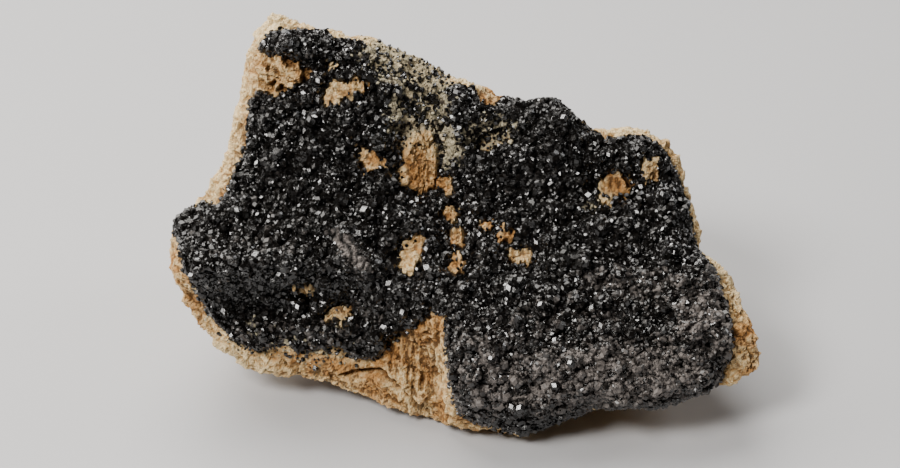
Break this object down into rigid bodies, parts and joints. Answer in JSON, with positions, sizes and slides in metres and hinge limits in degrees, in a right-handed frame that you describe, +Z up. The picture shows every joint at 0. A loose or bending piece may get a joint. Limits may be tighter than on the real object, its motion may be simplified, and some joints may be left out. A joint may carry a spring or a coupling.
{
  "type": "melanite garnet crystal specimen",
  "caption": "Slanting block of pale brown rock on a flat broken base, its front crusted with small black rhombic dodecahedral garnet crystals, with gaps where the rock shows.",
  "frame": {"origin": "bottom centre of the specimen's box, on the surface that it stands on", "axes": "+X to the right along the specimen's width, +Y to its back, +Z up; the crystal-covered face leans back and looks toward -Y and up"},
  "size_m": [0.1, 0.0668, 0.0592],
  "materials": {
    "rock": "rough, dull, pale cream to ochre broken rock",
    "garnet": "black, glassy crystal faces"
  },
  "bodies": {
    "root": {"matrix": "rock", "garnet_crust": "garnet"}
  },
  "joints": []
}
